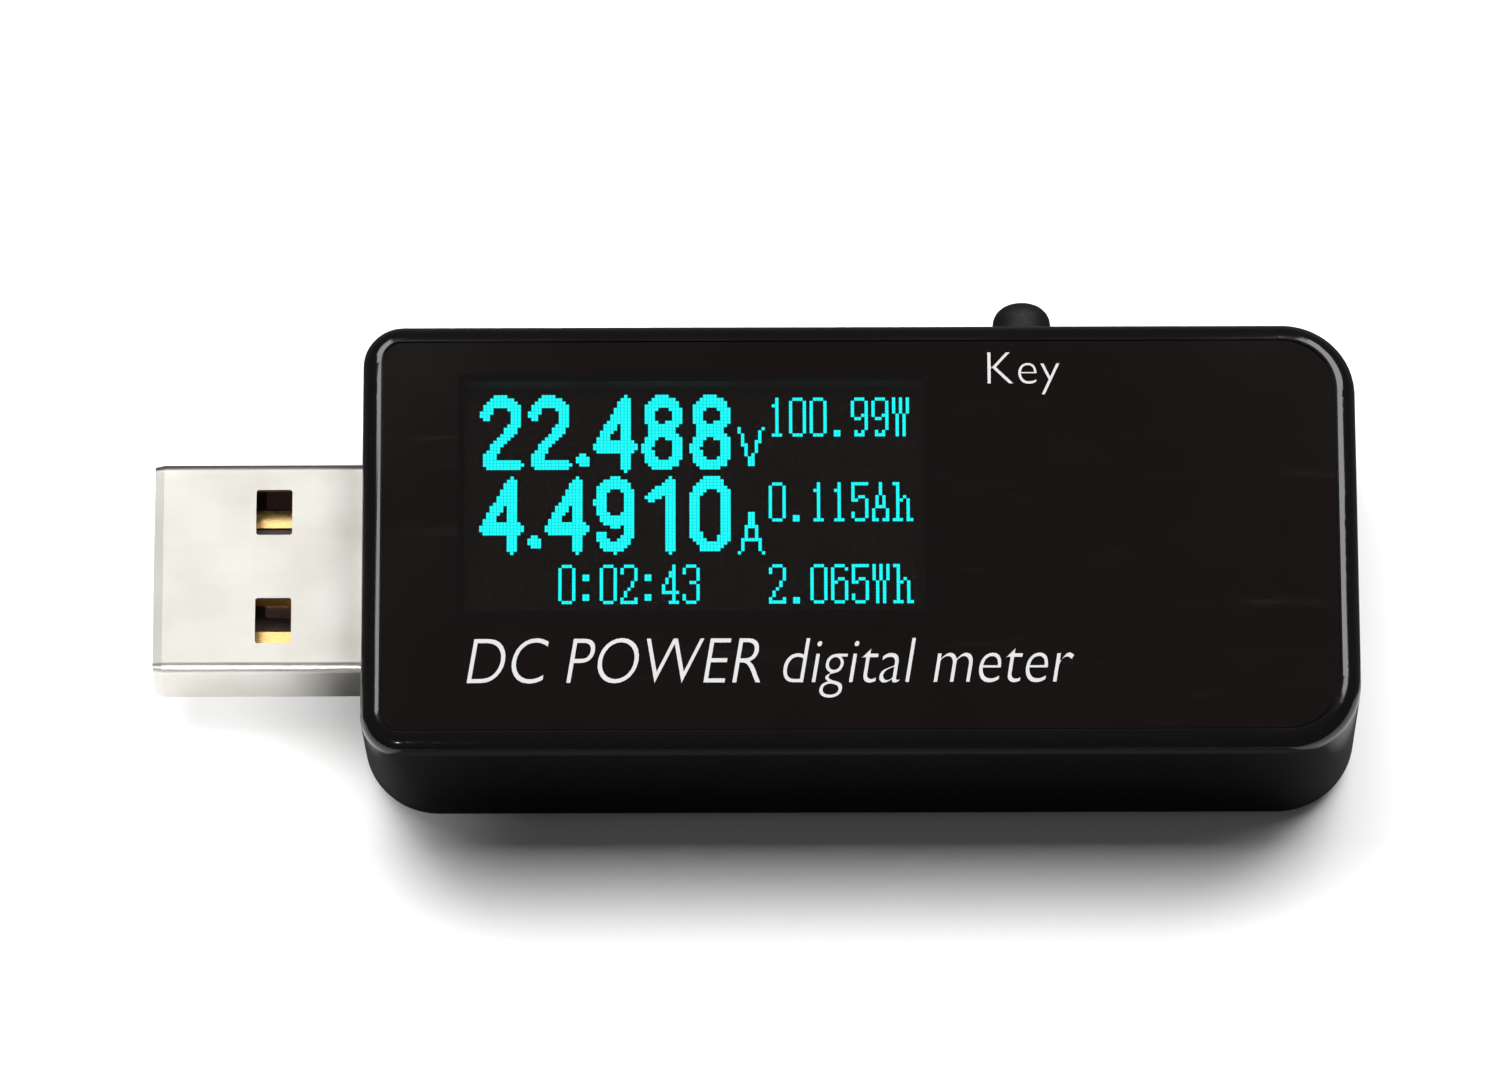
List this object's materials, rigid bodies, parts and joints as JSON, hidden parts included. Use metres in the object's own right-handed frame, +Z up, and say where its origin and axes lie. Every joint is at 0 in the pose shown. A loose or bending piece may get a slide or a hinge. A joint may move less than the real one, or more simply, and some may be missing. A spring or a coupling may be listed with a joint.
{
  "type": "usb power meter",
  "caption": "Inline USB power meter: black two-shell case, USB-A plug at one end, USB-A socket at the other, lit display under a glossy front film and a domed push key.",
  "frame": {"origin": "centre of the case's flat underside", "axes": "+X from the plug to the socket along the case, +Y towards the key's wall, +Z up through the display"},
  "size_m": [0.0649, 0.0272, 0.0115],
  "materials": {
    "case_black": "polished moulded plastic",
    "film_black": "glossy printed film",
    "window_clear": "clear glossy film",
    "display_glass": "polished",
    "polarizer_film": "glossy dark film",
    "silicon": "polished",
    "flex_film": "satin amber film",
    "foam": "foam",
    "board_laminate": "satin solder mask",
    "plug_nickel": "satin nickel plate",
    "socket_nickel": "satin nickel plate",
    "contact_gold": "gold plate",
    "connector_plastic": "moulded",
    "socket_plastic": "moulded",
    "key_plastic": "satin",
    "switch_plastic": "moulded",
    "chip_epoxy": "moulded",
    "lead_tin": "tin plate",
    "resistor_black": "glazed",
    "capacitor_tan": "fired",
    "readout_cyan": "lit display pixels",
    "print_white": "screen print"
  },
  "bodies": {
    "case": {"top_shell": "case_black", "bottom_shell": "case_black", "front_overlay": "film_black", "display_window": "window_clear", "oled_substrate": "display_glass", "oled_cover_glass": "display_glass", "oled_polarizer": "polarizer_film", "oled_driver_chip": "silicon", "oled_flex": "flex_film", "oled_pad": "foam", "main_board": "board_laminate", "plug_shell": "plug_nickel", "plug_insulator": "connector_plastic", "plug_contacts": "contact_gold", "socket_shell": "socket_nickel", "socket_insulator": "socket_plastic", "socket_contacts": "contact_gold", "switch_base": "switch_plastic", "switch_cover": "socket_nickel", "switch_dome": "socket_nickel", "mcu_chip": "chip_epoxy", "mcu_leads": "lead_tin", "sense_amplifier": "chip_epoxy", "voltage_regulator": "chip_epoxy", "shunt_resistor": "resistor_black", "chip_capacitors": "capacitor_tan", "chip_resistors": "resistor_black"},
    "key": {"key_cap": "key_plastic", "switch_plunger": "switch_plastic"}
  },
  "joints": [
    {"name": "key_press", "type": "slide", "parent": "case", "child": "key", "axis": [0, -1, 0], "range_m": [0, 0.0003], "stiffness_N_per_m": 4000, "springref_m": -0.0001, "deforming": ["switch_dome"]}
  ]
}
